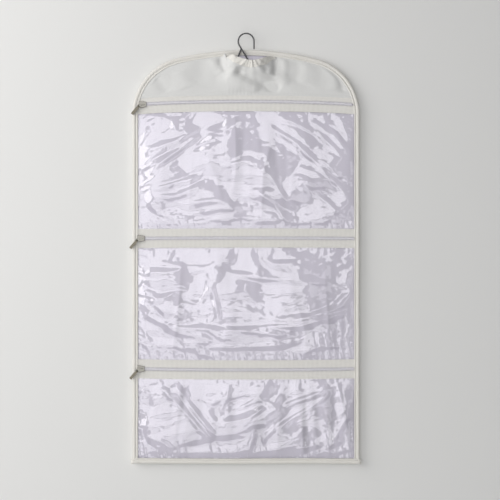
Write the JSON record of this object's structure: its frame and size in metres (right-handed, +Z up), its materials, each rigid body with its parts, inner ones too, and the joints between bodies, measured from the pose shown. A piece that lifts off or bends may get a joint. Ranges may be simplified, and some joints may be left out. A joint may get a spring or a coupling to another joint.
{
  "type": "hanging jewelry organizer",
  "caption": "Flat fabric organizer that hangs from a steel wire hook, with an arched header and zipped clear vinyl pockets over a satin lining.",
  "frame": {"origin": "where a rail touches the underside of the hook's crest, in the wire's plane", "axes": "+Z up as it hangs, the pockets face -Y, +X to the right as seen from the front"},
  "size_m": [0.3824, 0.0187, 0.711],
  "materials": {
    "hook_wire": "polished steel wire",
    "webbing": "woven tape",
    "board": "plain board",
    "back_nylon": "matte woven nylon",
    "satin": "satin",
    "header_nylon": "matte woven nylon",
    "binding_tape": "folded woven tape",
    "zipper_tape": "ribbed woven tape",
    "nylon_coil": "satin nylon",
    "clear_vinyl": "clear, glossy and wrinkled",
    "slider_metal": "polished plated zinc",
    "pull_metal": "polished, pale gold tone"
  },
  "bodies": {
    "hook": {"hanging_hook": "hook_wire"},
    "organizer": {"hook_tab": "webbing", "header_stiffener": "board", "back_panel": "back_nylon", "lining_panel": "satin", "header_panel": "header_nylon", "header_neck": "header_nylon", "neck_binding": "binding_tape", "edge_binding": "binding_tape", "bottom_binding": "binding_tape", "top_upper_tape": "zipper_tape", "top_lower_tape": "zipper_tape", "top_upper_coil": "nylon_coil", "top_lower_coil": "nylon_coil", "top_window": "clear_vinyl", "middle_upper_tape": "zipper_tape", "middle_lower_tape": "zipper_tape", "middle_upper_coil": "nylon_coil", "middle_lower_coil": "nylon_coil", "middle_window": "clear_vinyl", "bottom_upper_tape": "zipper_tape", "bottom_lower_tape": "zipper_tape", "bottom_upper_coil": "nylon_coil", "bottom_lower_coil": "nylon_coil", "bottom_window": "clear_vinyl"},
    "top_slider": {"top_slider": "slider_metal"},
    "top_link": {"top_pull_link": "slider_metal"},
    "top_tab": {"top_pull_tab": "pull_metal"},
    "middle_slider": {"middle_slider": "slider_metal"},
    "middle_link": {"middle_pull_link": "slider_metal"},
    "middle_tab": {"middle_pull_tab": "pull_metal"},
    "bottom_slider": {"bottom_slider": "slider_metal"},
    "bottom_link": {"bottom_pull_link": "slider_metal"},
    "bottom_tab": {"bottom_pull_tab": "pull_metal"}
  },
  "joints": [
    {"name": "organizer_swing", "type": "hinge", "parent": "hook", "child": "organizer", "pos_m": [0, 0, -0.0526], "axis": [1, 0, 0], "range_deg": [-45, 0]},
    {"name": "top_zip_slide", "type": "slide", "parent": "organizer", "child": "top_slider", "axis": [1, 0, 0], "range_m": [0, 0.341], "deforming": ["top_upper_coil", "top_lower_coil"]},
    {"name": "top_link_swivel", "type": "hinge", "parent": "top_slider", "child": "top_link", "pos_m": [-0.17399, 0, -0.1156], "axis": [0, -1, 0], "range_deg": [-179, 81]},
    {"name": "top_tab_flip", "type": "hinge", "parent": "top_link", "child": "top_tab", "pos_m": [-0.17701, 0, -0.11907], "axis": [-0.7547, 0, 0.6561], "range_deg": [0, 100]},
    {"name": "middle_zip_slide", "type": "slide", "parent": "organizer", "child": "middle_slider", "axis": [1, 0, 0], "range_m": [0, 0.346], "deforming": ["middle_upper_coil", "middle_lower_coil"]},
    {"name": "middle_link_swivel", "type": "hinge", "parent": "middle_slider", "child": "middle_link", "pos_m": [-0.17669, 0, -0.3366], "axis": [0, -1, 0], "range_deg": [-179, 81]},
    {"name": "middle_tab_flip", "type": "hinge", "parent": "middle_link", "child": "middle_tab", "pos_m": [-0.17971, 0, -0.34007], "axis": [-0.7547, 0, 0.6561], "range_deg": [0, 100]},
    {"name": "bottom_zip_slide", "type": "slide", "parent": "organizer", "child": "bottom_slider", "axis": [1, 0, 0], "range_m": [0, 0.346], "deforming": ["bottom_upper_coil", "bottom_lower_coil"]},
    {"name": "bottom_link_swivel", "type": "hinge", "parent": "bottom_slider", "child": "bottom_link", "pos_m": [-0.17669, 0, -0.5516], "axis": [0, -1, 0], "range_deg": [-179, 81]},
    {"name": "bottom_tab_flip", "type": "hinge", "parent": "bottom_link", "child": "bottom_tab", "pos_m": [-0.17971, 0, -0.55507], "axis": [-0.7547, 0, 0.6561], "range_deg": [0, 100]}
  ]
}
